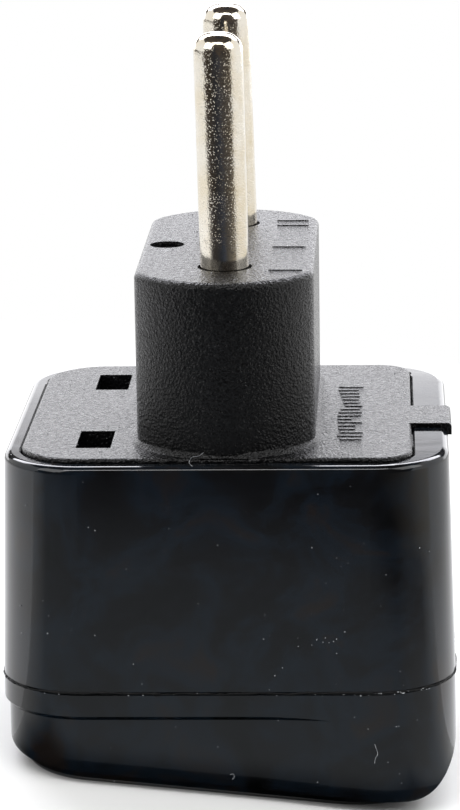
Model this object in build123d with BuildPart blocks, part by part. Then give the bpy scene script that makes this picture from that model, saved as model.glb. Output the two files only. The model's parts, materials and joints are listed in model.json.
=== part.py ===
from build123d import *

import os
from math import cos, degrees, atan2, radians, sin, tan

# Travel adapter: two solid round pins on a tall island, and a universal outlet in the opposite face.
# Inside, a brass strip takes each plug pin across to a bent spring contact, which grips whatever plug is
# pushed into the socket face.
#
# Frame, in millimetres: Z = 0 is the island's flat face, which meets the wall socket, midway between the
# two pins. The pins point along +Z and stand in a row along Y. The tab of the back plate is at +X.

# Plug pins: turned brass, with a relief neck and a land in the island, a flange and a riveted tail
pin_spacing = 19.0
pin_radius = 2.0
pin_neck_radius = 1.7
pin_neck_length = 0.5
pin_land_radius = 2.2
pin_length = 19.1
pin_tip_radius = 1.45
pin_flange_radius = 3.1
pin_flange_thickness = 1.4
pin_shank_length = 8.6
pin_spigot_radius = 1.4
rivet_head_radius = 2.1
rivet_head_height = 1.0

# Island: narrow, with rounded ends, hollow below
island_width = 14.6
island_margin = 0.15
island_height = 14.3
island_end_radius = 7.9
island_corner_radius = 3.0
island_edge_radius = 0.55
island_foot = 0.4
island_wall = 1.8
island_face_wall = 2.5
boss_radius = 3.6
boss_length = 9.5
boss_rib_thickness = 1.2
boss_rib_depth = 7.5
earth_hole_x = -5.25
earth_hole_radius = 1.45
earth_hole_depth = 8.0
earth_hole_wall = 1.2

# Back plate round the island, with the tab that crosses the rim
plate_thickness = 2.3
plate_proud = 0.35
right_border = 3.0
plate_edge_radius = 0.3
plate_right_corner = 2.8
tab_rear = 1.05
tab_front = -5.13
tab_thickness = 1.0
tab_overhang = 0.35
tab_edge_radius = 0.4
window_width = 2.85
window_length = 5.7
window_x = -10.82
window_y = 10.25
snap_arm_thickness = 1.3
snap_arm_width = 5.3
barb_depth = 0.9
barb_height = 1.6

# Upper housing: a drafted square shell, wider at the weld seam than at the rim
seam_width = 37.5
rim_inset = 0.55
corner_radius = 7.0
housing_height = 18.85
rim_border = 1.45
rim_edge_radius = 0.6
rim_inner_edge = 0.12
housing_wall = 2.25
cavity_corner = 4.0
seat_width = 1.25
seat_thickness = 1.2

# Weld seam: the cover's tongue stands in the housing's rebate
seam_groove = 0.15
tongue_height = 1.6
rebate_wall = 1.0

# Socket cover: a band under the seam, then a grip recess that runs out flush towards +X
band_height = 2.35
cover_depth = 9.26
face_angle = 5.73
face_wall = 2.4
face_step = 0.72
face_step_inset = 1.4
face_step_heel_inset = 2.2
face_step_corner = 5.2
face_step_heel_corner = 8.0
face_step_edge = 0.15
face_edge_radius = 1.5
heel_radius = 4.5
grip_inset = 0.4
grip_run_start = 2.0
grip_run_length = 12.0
grip_run_depth = 1.36
collar_wall = 1.1

# Universal outlet: slots and round holes that share each contact
socket_x = 11.2
round_spacing = 19.0
round_hole_radius = 2.55
wide_slot_spacing = 22.2
wide_slot_x = 4.4
wide_slot_y = 6.8
blade_spacing = 12.7
blade_slot_x = 6.9
blade_slot_y = 1.9
earth_slot_distance = 22.2
earth_slot_x = 8.4
earth_slot_y = 4.4
earth_round_distance = 11.9
earth_round_radius = 2.5

# Contacts: strip, clip, washer and rivets
bar_width = 7.0
bar_thickness = 0.8
washer_radius = 2.5
washer_thickness = 0.5
strip_thickness = 0.5
strip_bend = 0.6
grip_gap = 3.5
blade_gap = 1.6
clip_drop = 1.8
clip_flange_width = 4.8
clip_flange_reach = 6.7
clip_rivet_radius = 0.8
clip_rivet_spacing = 2.4
clip_rivet_head_radius = 1.1
clip_rivet_head_height = 0.7

# Contact carrier
deck_thickness = 2.0
chamber_wall = 0.9
well_wall = 1.0

# Clearances between pieces
bore_gap = 0.03
plate_gap = 0.12
tab_gap = 0.2
tongue_gap = 0.1
clip_gap = 0.2
catch_gap = 0.1
washer_gap = 0.2
carrier_gap = 0.3
chamber_gap = 0.2
clip_floor_gap = 0.7
well_gap = 0.79

# Widths, heights and places that follow from the sizes
rim_width = seam_width - 2 * rim_inset
plate_width = rim_width - 2 * rim_border
plate_corner = corner_radius - rim_inset - rim_border
plate_right = rim_width / 2 - right_border
island_length = plate_width - 2 * island_margin
cavity_width = seam_width - 2 * housing_wall
plate_top = -island_height
plate_bottom = plate_top - plate_thickness
rim_top = plate_top - plate_proud
seam_z = rim_top - housing_height
ledge_z = seam_z - band_height
seat_bottom = plate_bottom - seat_thickness
boss_bottom = -island_face_wall - boss_length
flange_bottom = boss_bottom - pin_flange_thickness
shoulder_z = flange_bottom - pin_shank_length
deck_top = shoulder_z - bar_thickness
deck_bottom = deck_top - deck_thickness
washer_bottom = deck_top - washer_thickness
head_bottom = washer_bottom - rivet_head_height
clip_top = deck_top - clip_drop
clip_flange_z = deck_top - strip_thickness / 2
tab_bottom = plate_top - tab_thickness
tab_y = (tab_rear + tab_front) / 2
tab_width = tab_rear - tab_front
tab_end = rim_width / 2 + tab_overhang
window_left = window_x - window_width / 2
deck_width = cavity_width - 2 * carrier_gap
draft_angle = degrees(atan2(rim_inset, housing_height))
earth_slot_place = socket_x - earth_slot_distance
earth_round_place = socket_x - earth_round_distance
pin_y = pin_spacing / 2
sides = {"line": 1, "neutral": -1}

# The socket face is inclined, so that the body is shallower at -X than at +X
slope = radians(face_angle)
face_middle = seam_z - cover_depth
face_axis = Axis((0, 0, 0), (sin(slope), 0, cos(slope)))
well_top = plate_bottom - well_gap
step_left = grip_inset + face_step_inset - seam_width / 2
step_right = seam_width / 2 - face_step_heel_inset


def floor_height(x):
    """Height of the cover's inner floor at a place along X."""
    return face_middle + (face_step + face_wall) / cos(slope) - tan(slope) * x


# The carrier stands on the floor with the outer end of its well
carrier_bottom = floor_height(earth_slot_place - earth_slot_x / 2 - well_wall)
carrier_height = deck_top - carrier_bottom
clip_depth = clip_top - carrier_bottom - clip_floor_gap


def face_plane(height):
    """Plane parallel to the socket face and a height above it, with its normal up into the body."""
    return Plane(
        origin=(0, 0, face_middle + height / cos(slope)),
        x_dir=(cos(slope), 0, -sin(slope)),
        z_dir=face_axis.direction,
    )


# Outlines that several pieces share
with BuildSketch() as plate_outline:
    RectangleRounded(plate_width, plate_width, plate_corner)
    Rectangle(plate_width / 2, plate_width, align=(Align.MIN, Align.CENTER))
    split(bisect_by=Plane.YZ.offset(plate_right), keep=Keep.BOTTOM)
    fillet(plate_outline.vertices().group_by(Axis.X)[-1], plate_right_corner)

with BuildSketch() as island_outline:
    SlotCenterToCenter(island_length - 2 * island_end_radius, 2 * island_end_radius, rotation=90)
    Rectangle(island_width, island_length + island_width, mode=Mode.INTERSECT)
    fillet(island_outline.vertices(), island_corner_radius)

with BuildSketch() as live_apertures:
    for side in sides.values():
        with Locations((socket_x, side * round_spacing / 2)):
            Circle(round_hole_radius)
        with Locations((socket_x, side * wide_slot_spacing / 2)):
            Rectangle(wide_slot_x, wide_slot_y)
        with Locations((socket_x, side * blade_spacing / 2)):
            Rectangle(blade_slot_x, blade_slot_y)

with BuildSketch() as earth_slot:
    with Locations((earth_slot_place, 0)):
        Rectangle(earth_slot_x, earth_slot_y)

with BuildSketch() as earth_round:
    with Locations((earth_round_place, 0)):
        Circle(earth_round_radius)

# Upper housing: shell with a recess and a seat for the back plate
with BuildPart() as upper_housing:
    with BuildSketch(Plane.XY.offset(seam_z)):
        RectangleRounded(seam_width, seam_width, corner_radius)
    extrude(amount=housing_height, taper=draft_angle)
    fillet(upper_housing.faces().sort_by(Axis.Z)[-1].edges(), rim_edge_radius)
    with BuildSketch(Plane.XY.offset(seam_z)):
        RectangleRounded(cavity_width, cavity_width, cavity_corner)
    extrude(amount=seat_bottom - seam_z, mode=Mode.SUBTRACT)
    with BuildSketch(Plane.XY.offset(plate_bottom)):
        add(plate_outline.sketch)
        offset(amount=plate_gap)
    extrude(amount=plate_thickness, mode=Mode.SUBTRACT)
    rim_face = upper_housing.faces().sort_by(Axis.Z)[-1]
    chamfer(rim_face.inner_wires()[0].edges(), rim_inner_edge)
    with BuildSketch(Plane.XY.offset(seat_bottom)):
        add(plate_outline.sketch)
        offset(amount=-seat_width)
    extrude(amount=seat_thickness, mode=Mode.SUBTRACT)
    with BuildSketch(Plane.XY.offset(seat_bottom)):
        add(earth_slot.sketch)
        offset(amount=well_wall + carrier_gap, kind=Kind.INTERSECTION)
    extrude(amount=seat_thickness, mode=Mode.SUBTRACT)
    with BuildSketch(Plane.XY.offset(tab_bottom)):
        with Locations((plate_right, tab_y)):
            Rectangle(seam_width, tab_width + 2 * tab_gap, align=(Align.MIN, Align.CENTER))
    extrude(amount=tab_thickness, mode=Mode.SUBTRACT)
    with BuildSketch(Plane.XY.offset(seam_z)):
        rebate_width = seam_width - 2 * rebate_wall
        RectangleRounded(rebate_width, rebate_width, corner_radius - rebate_wall)
    extrude(amount=tongue_height + tongue_gap, mode=Mode.SUBTRACT)
    chamfer(upper_housing.faces().sort_by(Axis.Z)[0].outer_wire().edges(), seam_groove)

upper_housing.part.label = "upper_housing"

# Back plate: plate, tab, hollow island, pin bosses and two snap arms under the windows
with BuildPart() as back_plate:
    with BuildSketch(Plane.XY.offset(plate_bottom)):
        add(plate_outline.sketch)
    extrude(amount=plate_thickness)
    fillet(back_plate.faces().sort_by(Axis.Z)[-1].edges(), plate_edge_radius)
    with BuildSketch(Plane.XY.offset(tab_bottom)):
        with Locations((tab_end, tab_y)):
            Rectangle(tab_end - plate_right + rim_border, tab_width, align=(Align.MAX, Align.CENTER))
    extrude(amount=tab_thickness)
    tab_tip = back_plate.faces().sort_by(Axis.X)[-1]
    fillet(tab_tip.edges().filter_by(Axis.Y).sort_by(Axis.Z)[-1], tab_edge_radius)
    with BuildSketch(Plane.XY.offset(plate_bottom)):
        add(island_outline.sketch)
    extrude(amount=-plate_bottom)
    fillet(back_plate.faces().sort_by(Axis.Z)[-1].edges(), island_edge_radius)
    with BuildSketch(Plane.XY.offset(plate_top)):
        add(island_outline.sketch)
        offset(amount=island_foot)
        add(plate_outline.sketch, mode=Mode.INTERSECT)
    extrude(amount=island_foot, taper=45)
    with BuildSketch(Plane.XY.offset(plate_bottom)):
        add(island_outline.sketch)
        offset(amount=-island_wall)
    extrude(amount=-plate_bottom - island_face_wall, mode=Mode.SUBTRACT)
    with BuildSketch(Plane.XY.offset(-island_face_wall)) as bosses:
        with GridLocations(0, pin_spacing, 1, 2):
            Circle(boss_radius)
    extrude(amount=-boss_length)
    with BuildSketch(Plane.XY.offset(-island_face_wall)) as boss_ribs:
        with GridLocations(0, pin_spacing, 1, 2):
            Rectangle(island_width - island_wall, boss_rib_thickness)
    extrude(amount=-boss_rib_depth)
    with BuildSketch(Plane.XY.offset(-island_face_wall)) as earth_boss:
        with Locations((-island_width / 2 + island_wall / 2, 0)):
            boss_reach = earth_hole_x + earth_hole_radius + earth_hole_wall + (island_width - island_wall) / 2
            boss_span = 2 * (earth_hole_radius + earth_hole_wall)
            Rectangle(boss_reach, boss_span, align=(Align.MIN, Align.CENTER))
    extrude(amount=-earth_hole_depth)
    with BuildSketch() as earth_hole:
        with Locations((earth_hole_x, 0)):
            Circle(earth_hole_radius)
    extrude(amount=-island_face_wall - earth_hole_depth, mode=Mode.SUBTRACT)
    with BuildSketch() as pin_bores:
        with GridLocations(0, pin_spacing, 1, 2):
            Circle(pin_land_radius + bore_gap)
    extrude(amount=boss_bottom, mode=Mode.SUBTRACT)
    with BuildSketch(Plane.XY.offset(plate_bottom)) as windows:
        with Locations((window_x, 0)):
            with GridLocations(0, 2 * window_y, 1, 2):
                Rectangle(window_width, window_length)
    extrude(amount=plate_thickness, mode=Mode.SUBTRACT)
    for side in sides.values():
        with BuildSketch(Plane.XZ.offset(-side * window_y)) as snap_arm:
            with BuildLine():
                barb_top = deck_bottom - catch_gap
                arm_end = barb_top - barb_height
                arm_left = window_left - snap_arm_thickness
                Polyline(
                    (arm_left, plate_bottom),
                    (arm_left, arm_end),
                    (window_left, arm_end),
                    (window_left + barb_depth, barb_top),
                    (window_left, barb_top),
                    (window_left, plate_bottom),
                    close=True,
                )
            make_face()
        extrude(amount=snap_arm_width / 2, both=True)

back_plate.part.label = "back_plate"

# Socket cover: the space inside it, then the shell with its collars and apertures
with BuildPart() as cover_space:
    with BuildSketch(Plane.XY.offset(seam_z)):
        RectangleRounded(cavity_width, cavity_width, cavity_corner)
    extrude(amount=-2 * cover_depth)
    split(bisect_by=face_plane(face_step + face_wall), keep=Keep.TOP)

with BuildPart() as grip_core:
    with BuildSketch(Plane.XY.offset(ledge_z)) as grip_outline:
        with BuildLine():
            half = seam_width / 2 - grip_inset
            corner = corner_radius - grip_inset
            run_end = grip_run_start + grip_run_length
            front = Line((grip_run_start, -half), (corner - half, -half))
            front_corner = RadiusArc(front @ 1, (-half, corner - half), corner)
            left = Line(front_corner @ 1, (-half, half - corner))
            rear_corner = RadiusArc(left @ 1, (corner - half, half), corner)
            rear = Line(rear_corner @ 1, (grip_run_start, half))
            rear_run = TangentArc(rear @ 1, (run_end, half + grip_run_depth), tangent=(1, 0))
            Polyline(
                rear_run @ 1,
                (seam_width, half + grip_run_depth),
                (seam_width, -half - grip_run_depth),
                (run_end, -half - grip_run_depth),
            )
            TangentArc((grip_run_start, -half), (run_end, -half - grip_run_depth), tangent=(1, 0))
        make_face()
    extrude(amount=-2 * cover_depth)
    with BuildSketch(Plane.XY.offset(ledge_z)):
        add(grip_outline.sketch)
    extrude(amount=grip_inset, taper=-45)

with BuildPart() as socket_cover:
    with BuildSketch(Plane.XY.offset(seam_z)):
        RectangleRounded(seam_width, seam_width, corner_radius)
    extrude(amount=-2 * cover_depth)
    add(grip_core.part, mode=Mode.INTERSECT)
    with BuildSketch(Plane.XY.offset(seam_z)):
        RectangleRounded(seam_width, seam_width, corner_radius)
    extrude(amount=grip_inset - band_height)
    split(bisect_by=face_plane(face_step), keep=Keep.TOP)
    fillet(socket_cover.faces().sort_by(face_axis)[0].edges(), face_edge_radius)
    with BuildSketch(Plane.XZ) as side_outline:
        with BuildLine():
            edge_z = face_middle + face_step / cos(slope)
            Polyline(
                (-seam_width, seam_z),
                (seam_width / 2, seam_z),
                (seam_width / 2, edge_z - tan(slope) * seam_width / 2),
                (-seam_width, edge_z + tan(slope) * seam_width),
                close=True,
            )
        make_face()
        fillet(side_outline.vertices().sort_by(Axis.Y)[0], heel_radius)
    extrude(amount=seam_width, both=True, mode=Mode.INTERSECT)
    chamfer(socket_cover.faces().sort_by(Axis.Z)[-1].edges(), seam_groove)
    with BuildSketch(face_plane(0)) as step_outline:
        with Locations(((step_left + step_right) / 2, 0)):
            Rectangle(step_right - step_left, seam_width - 2 * face_step_inset - 2 * grip_inset)
        fillet(step_outline.vertices().group_by(Axis.X)[0], face_step_corner)
        fillet(step_outline.vertices().group_by(Axis.X)[-1], face_step_heel_corner)
    extrude(amount=face_step + face_wall)
    chamfer(socket_cover.faces().sort_by(face_axis)[0].edges(), face_step_edge)
    add(cover_space.part, mode=Mode.SUBTRACT)
    with BuildSketch(Plane.XY.offset(seam_z)):
        tongue_width = seam_width - 2 * rebate_wall - 2 * tongue_gap
        RectangleRounded(tongue_width, tongue_width, corner_radius - rebate_wall - tongue_gap)
        RectangleRounded(cavity_width, cavity_width, cavity_corner, mode=Mode.SUBTRACT)
    extrude(amount=tongue_height)
    with BuildSketch(Plane.XY.offset(carrier_bottom)) as collars:
        for aperture in (live_apertures, earth_slot, earth_round):
            add(offset(aperture.sketch, amount=collar_wall, kind=Kind.INTERSECTION, mode=Mode.PRIVATE))
    extrude(until=Until.NEXT, dir=(0, 0, -1))
    with BuildSketch(Plane.XY.offset(carrier_bottom)) as apertures:
        add(live_apertures.sketch)
        add(earth_slot.sketch)
        add(earth_round.sketch)
    extrude(amount=-cover_depth, mode=Mode.SUBTRACT)

socket_cover.part.label = "socket_cover"

# Contact carrier: a deck with a chamber for each clip, a well for earth blades and a tube for earth pins
with BuildSketch() as chamber_outline:
    clearance = strip_thickness + clip_gap
    with Locations((socket_x, blade_spacing / 2)):
        Rectangle(blade_slot_x + 2 * clearance, blade_gap + 2 * clearance)
    with Locations((socket_x, blade_spacing / 2)):
        leg_reach = (wide_slot_spacing - blade_spacing + wide_slot_y) / 2
        Rectangle(grip_gap + 2 * clearance, leg_reach + clip_gap, align=(Align.CENTER, Align.MIN))

with BuildSketch() as tube_space:
    tube_width = cavity_width - 2 * chamber_gap
    RectangleRounded(tube_width, tube_width, cavity_corner - chamber_gap)

with BuildPart() as contact_carrier:
    with BuildSketch(Plane.XY.offset(deck_top)):
        RectangleRounded(deck_width, deck_width, cavity_corner - carrier_gap)
        for side in sides.values():
            with Locations((window_left + catch_gap, side * window_y)):
                notch_width = snap_arm_width + 2 * carrier_gap
                Rectangle(cavity_width, notch_width, align=(Align.MAX, Align.CENTER), mode=Mode.SUBTRACT)
    extrude(amount=-deck_thickness)
    with BuildSketch(Plane.XY.offset(carrier_bottom)) as tubes:
        offset(chamber_outline.sketch, amount=chamber_wall, kind=Kind.INTERSECTION)
        mirror(about=Plane.XZ)
        add(offset(earth_round.sketch, amount=well_wall, mode=Mode.PRIVATE))
        add(tube_space.sketch, mode=Mode.INTERSECT)
    extrude(amount=carrier_height)
    with BuildSketch(Plane.XY.offset(carrier_bottom)) as well:
        add(offset(earth_slot.sketch, amount=well_wall, kind=Kind.INTERSECTION, mode=Mode.PRIVATE))
        add(tube_space.sketch, mode=Mode.INTERSECT)
    extrude(amount=well_top - carrier_bottom)
    with BuildSketch(Plane.XY.offset(carrier_bottom)):
        add(chamber_outline.sketch)
        mirror(about=Plane.XZ)
        add(earth_round.sketch)
    extrude(amount=carrier_height, mode=Mode.SUBTRACT)
    with BuildSketch(Plane.XY.offset(carrier_bottom)):
        add(earth_slot.sketch)
    extrude(amount=well_top - well_wall - carrier_bottom, mode=Mode.SUBTRACT)
    with BuildSketch(Plane.XY.offset(deck_top)) as washer_pockets:
        with GridLocations(0, pin_spacing, 1, 2):
            Circle(washer_radius + washer_gap)
    extrude(amount=-deck_thickness, mode=Mode.SUBTRACT)

contact_carrier.part.label = "contact_carrier"

pieces = [upper_housing, back_plate, socket_cover, contact_carrier]

# Each pole: pin, washer, bar, clip and rivets, one set at +Y and one at -Y
rivet_x = (socket_x - clip_rivet_spacing / 2, socket_x + clip_rivet_spacing / 2)

for pole, side in sides.items():
    y = side * pin_y
    axis = Axis((0, y, 0), (0, 0, 1))

    with BuildPart() as pin:
        with BuildSketch(Plane.XZ.offset(-y)):
            with BuildLine():
                Polyline(
                    (0, pin_length),
                    (pin_radius, pin_length),
                    (pin_radius, 0),
                    (pin_neck_radius, 0),
                    (pin_neck_radius, -pin_neck_length),
                    (pin_land_radius, -pin_neck_length),
                    (pin_land_radius, boss_bottom),
                    (pin_flange_radius, boss_bottom),
                    (pin_flange_radius, flange_bottom),
                    (pin_radius, flange_bottom),
                    (pin_radius, shoulder_z),
                    (pin_spigot_radius, shoulder_z),
                    (pin_spigot_radius, washer_bottom),
                    (rivet_head_radius, washer_bottom),
                    (rivet_head_radius, head_bottom),
                    (0, head_bottom),
                    close=True,
                )
            make_face()
        revolve(axis=axis)
        fillet(pin.faces().sort_by(Axis.Z)[-1].edges(), pin_tip_radius)
        fillet(pin.faces().sort_by(Axis.Z)[0].edges(), rivet_head_height * 0.6)

    pin.part.label = f"{pole}_pin"

    with BuildPart() as pin_washer:
        with BuildSketch(Plane.XY.offset(washer_bottom)):
            with Locations((0, y)):
                Circle(washer_radius)
                Circle(pin_spigot_radius + bore_gap, mode=Mode.SUBTRACT)
        extrude(amount=washer_thickness)

    pin_washer.part.label = f"{pole}_pin_washer"

    with BuildPart() as bus_bar:
        with BuildSketch(Plane.XY.offset(deck_top)):
            with Locations((socket_x / 2, y)):
                SlotCenterToCenter(socket_x, bar_width)
            with Locations((0, y)):
                Circle(pin_spigot_radius + bore_gap, mode=Mode.SUBTRACT)
            with Locations((rivet_x[0], y), (rivet_x[1], y)):
                Circle(clip_rivet_radius + bore_gap, mode=Mode.SUBTRACT)
        extrude(amount=bar_thickness)

    bus_bar.part.label = f"{pole}_bus_bar"

    with BuildPart() as contact_clip:
        with BuildSketch(Plane.XY.offset(clip_top - clip_depth)):
            with BuildLine() as clip_path:
                leg_x = (grip_gap + strip_thickness) / 2
                blade_x = (blade_slot_x + strip_thickness) / 2
                near_y = side * (blade_spacing - blade_gap - strip_thickness) / 2
                far_y = side * (blade_spacing + blade_gap + strip_thickness) / 2
                leg_y = side * (wide_slot_spacing + wide_slot_y) / 2
                FilletPolyline(
                    (socket_x - leg_x, leg_y),
                    (socket_x - leg_x, far_y),
                    (socket_x - blade_x, far_y),
                    (socket_x - blade_x, near_y),
                    (socket_x + blade_x, near_y),
                    (socket_x + blade_x, far_y),
                    (socket_x + leg_x, far_y),
                    (socket_x + leg_x, leg_y),
                    radius=strip_bend,
                )
            trace(line_width=strip_thickness)
        extrude(amount=clip_depth)
        with BuildSketch(Plane.YZ.offset(socket_x)):
            with BuildLine():
                FilletPolyline(
                    (near_y, clip_top - strip_bend),
                    (near_y, clip_flange_z),
                    (near_y + side * clip_flange_reach, clip_flange_z),
                    radius=strip_bend,
                )
            trace(line_width=strip_thickness)
        extrude(amount=clip_flange_width / 2, both=True)
        with BuildSketch(Plane.XY.offset(deck_top)):
            with Locations((rivet_x[0], y), (rivet_x[1], y)):
                Circle(clip_rivet_radius + bore_gap)
        extrude(amount=-strip_thickness, mode=Mode.SUBTRACT)

    contact_clip.part.label = f"{pole}_contact_clip"

    with BuildPart() as clip_rivets:
        rivet_foot = deck_top - strip_thickness
        for x in rivet_x:
            with BuildSketch(Plane.XY.offset(rivet_foot - clip_rivet_head_height)):
                with Locations((x, y)):
                    Circle(clip_rivet_head_radius)
            extrude(amount=clip_rivet_head_height)
            with BuildSketch(Plane.XY.offset(rivet_foot)):
                with Locations((x, y)):
                    Circle(clip_rivet_radius)
            extrude(amount=strip_thickness + bar_thickness)
            with BuildSketch(Plane.XY.offset(shoulder_z)):
                with Locations((x, y)):
                    Circle(clip_rivet_head_radius)
            extrude(amount=clip_rivet_head_height)

    clip_rivets.part.label = f"{pole}_clip_rivets"
    pieces += [pin, pin_washer, bus_bar, contact_clip, clip_rivets]

os.makedirs("parts", exist_ok=True)
for piece in pieces:
    export_step(piece.part, f"parts/{piece.part.label}.step")
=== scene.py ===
import json
from math import pi, radians

import bpy
import numpy as np
from bpy.props import FloatProperty, FloatVectorProperty, IntProperty, PointerProperty
from mathutils import Matrix, Vector


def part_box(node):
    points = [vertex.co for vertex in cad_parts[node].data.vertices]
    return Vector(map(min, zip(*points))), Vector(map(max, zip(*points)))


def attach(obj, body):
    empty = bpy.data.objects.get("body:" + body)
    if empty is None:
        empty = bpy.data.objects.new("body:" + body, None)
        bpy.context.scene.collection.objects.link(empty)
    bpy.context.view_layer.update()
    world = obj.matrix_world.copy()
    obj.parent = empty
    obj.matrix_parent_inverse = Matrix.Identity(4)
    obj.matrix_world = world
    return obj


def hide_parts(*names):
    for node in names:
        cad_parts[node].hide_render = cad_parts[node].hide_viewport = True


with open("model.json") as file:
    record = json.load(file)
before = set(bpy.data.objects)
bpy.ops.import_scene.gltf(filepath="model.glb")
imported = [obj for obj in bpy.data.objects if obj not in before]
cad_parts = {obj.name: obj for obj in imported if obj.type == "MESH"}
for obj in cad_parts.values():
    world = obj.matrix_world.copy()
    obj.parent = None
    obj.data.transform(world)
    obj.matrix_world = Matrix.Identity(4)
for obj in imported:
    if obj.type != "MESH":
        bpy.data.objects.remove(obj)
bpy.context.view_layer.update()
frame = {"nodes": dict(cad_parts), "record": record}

bl_info = {
    "name": "Travel adapter",
    "version": (1, 0, 0),
    "blender": (4, 5, 0),
    "location": "View3D > Sidebar > Adapter",
    "description": "Finishes and fine pieces of a two-pin travel adapter round its CAD frame",
    "category": "Add Mesh",
}

MM = 0.001
BODY = "root"
TAU = 2 * pi

# Heights, widths and places of the frame, in millimetres
mounts = {mount["name"]: mount for mount in frame["record"]["mounts"]}
housing_low, housing_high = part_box("upper_housing")
RIM_Z = housing_high.z / MM
SEAM_Z = housing_low.z / MM
PLATE_Z = RIM_Z + 0.35
SEAM_HALF = housing_high.x / MM
RIM_HALF = SEAM_HALF - 0.55
SEAM_CORNER = 7.0
LEDGE_Z = SEAM_Z - 2.35
GRIP_INSET = 0.4
GRIP_START = 2.0
GRIP_RADIUS = 53.6
ISLAND_END = 7.9
ISLAND_CENTRE = 8.7
PIN_Y = mounts["line_pin"]["pos_m"][1] / MM
PIN_TOP = 19.1
FLOOR_POINT = Vector(mounts["socket_face"]["pos_m"])
FLOOR_NORMAL = -Vector(mounts["socket_face"]["axis"]).normalized()


def linear(code):
    """Linear RGBA of an sRGB hex colour."""
    parts = [int(code[i : i + 2], 16) / 255 for i in (1, 3, 5)]
    return tuple(c / 12.92 if c <= 0.04045 else ((c + 0.055) / 1.055) ** 2.4 for c in parts) + (1.0,)


class AdapterSizes(bpy.types.PropertyGroup):
    """Sizes of the pieces that are added to the frame."""

    neutral_lean: FloatVectorProperty(
        name="Neutral pin lean", description="Place of the front pin's tip beside its root", size=2,
        default=(-0.29 * MM, 0.23 * MM), unit="LENGTH",
    )
    line_lean: FloatVectorProperty(
        name="Line pin lean", description="Place of the rear pin's tip beside its root", size=2,
        default=(-0.46 * MM, -0.21 * MM), unit="LENGTH",
    )
    dent_depth: FloatProperty(
        name="Dent depth", description="Depth of the tumbling dents in the plated pins", default=0.012 * MM,
        unit="LENGTH",
    )
    stroke_height: FloatProperty(
        name="Stroke height", description="Height of the raised strokes", default=0.08 * MM, unit="LENGTH"
    )
    flash_radius: FloatProperty(
        name="Flash radius", description="Mean radius of the weld flash", default=0.12 * MM, unit="LENGTH"
    )
    speck_count: IntProperty(name="Specks", description="Number of dust specks", default=190, min=0)
    seed: IntProperty(name="Seed", description="Seed of the scattered dust and the weld flash", default=7)


class AdapterColours(bpy.types.PropertyGroup):
    """Base colours of the finishes."""

    gloss: FloatVectorProperty(
        name="Gloss plastic", description="Polished black plastic", subtype="COLOR", size=4, min=0, max=1,
        default=linear("#08090b"),
    )
    texture: FloatVectorProperty(
        name="Textured plastic", description="Spark-eroded black plastic", subtype="COLOR", size=4, min=0,
        max=1, default=linear("#070708"),
    )
    nickel: FloatVectorProperty(
        name="Nickel", description="Plating of the pins", subtype="COLOR", size=4, min=0, max=1,
        default=linear("#ece6da"),
    )
    dust: FloatVectorProperty(
        name="Dust", description="Specks and fibres", subtype="COLOR", size=4, min=0, max=1,
        default=linear("#a9abae"),
    )
    floor: FloatVectorProperty(
        name="Floor", description="Pale studio floor", subtype="COLOR", size=4, min=0, max=1,
        default=linear("#f6f6f5"),
    )


# Shared mesh tools

def grid_faces(rows, columns, loop=False):
    """Quads of a grid of rings: its columns close on themselves, and in a loop its rows do too."""
    i, j = np.meshgrid(np.arange(rows if loop else rows - 1), np.arange(columns), indexing="ij")
    k = (j + 1) % columns
    above = (i + 1) % rows
    quads = np.stack([i * columns + j, i * columns + k, above * columns + k, above * columns + j], -1)
    return quads.reshape(-1, 4).tolist()


def closed_faces(rows, columns):
    """Faces of a grid of rings with a pole after its points at the low end and another at the high end."""
    ring = np.arange(columns)
    after = np.roll(ring, -1)
    last = (rows - 1) * columns
    low = np.stack([after, ring, np.full(columns, rows * columns)], -1)
    high = np.stack([ring + last, after + last, np.full(columns, rows * columns + 1)], -1)
    return grid_faces(rows, columns) + low.tolist() + high.tolist()


def repeated(faces, count, step):
    """The same faces for each of several copies whose points follow each other."""
    return [[corner + copy * step for corner in face] for copy in range(count) for face in faces]


def make_mesh(name, points, faces, material):
    """Smooth mesh of points in millimetres, held by an object at the origin."""
    mesh = bpy.data.meshes.new(name)
    mesh.from_pydata((np.asarray(points).reshape(-1, 3) * MM).tolist(), [], faces)
    mesh.polygons.foreach_set("use_smooth", np.ones(len(mesh.polygons), bool))
    mesh.materials.append(material)
    mesh.update()
    holder = bpy.data.objects.new(name, mesh)
    bpy.context.scene.collection.objects.link(holder)
    return holder


def new_piece(name, points, faces, material):
    """Piece of the adapter: it rides on the body and takes the finish that it is given."""
    piece = make_mesh(name, points, faces, material)
    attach(piece, BODY)
    return piece


def pillows(centres, halves, turns, power, rows=9, columns=16):
    """Rounded blocks, one for each centre, as points, and the faces of all of them.

    Each is a superellipsoid: its half sizes times cosines and sines of latitude and longitude, each raised
    to a power with its sign kept (1 gives an egg, less gives a block), then turned about Z.
    """
    def shaped(values):
        return np.sign(values) * np.abs(values) ** power

    latitude = np.linspace(-pi / 2, pi / 2, rows + 2)[1:-1, None]
    longitude = np.linspace(0, TAU, columns, endpoint=False)[None, :]
    flat = np.broadcast_to(shaped(np.sin(latitude)), (rows, columns))
    unit = np.stack([
        shaped(np.cos(latitude)) * shaped(np.cos(longitude)),
        shaped(np.cos(latitude)) * shaped(np.sin(longitude)),
        flat,
    ], -1).reshape(-1, 3)
    unit = np.concatenate([unit, [(0, 0, -1), (0, 0, 1)]])
    sized = unit[None] * np.asarray(halves, float)[:, None]
    turns = np.asarray(turns, float)[:, None]
    x = sized[..., 0] * np.cos(turns) - sized[..., 1] * np.sin(turns)
    y = sized[..., 0] * np.sin(turns) + sized[..., 1] * np.cos(turns)
    points = np.stack([x, y, sized[..., 2]], -1) + np.asarray(centres, float)[:, None]
    return points, repeated(closed_faces(rows, columns), len(points), len(unit))


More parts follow.
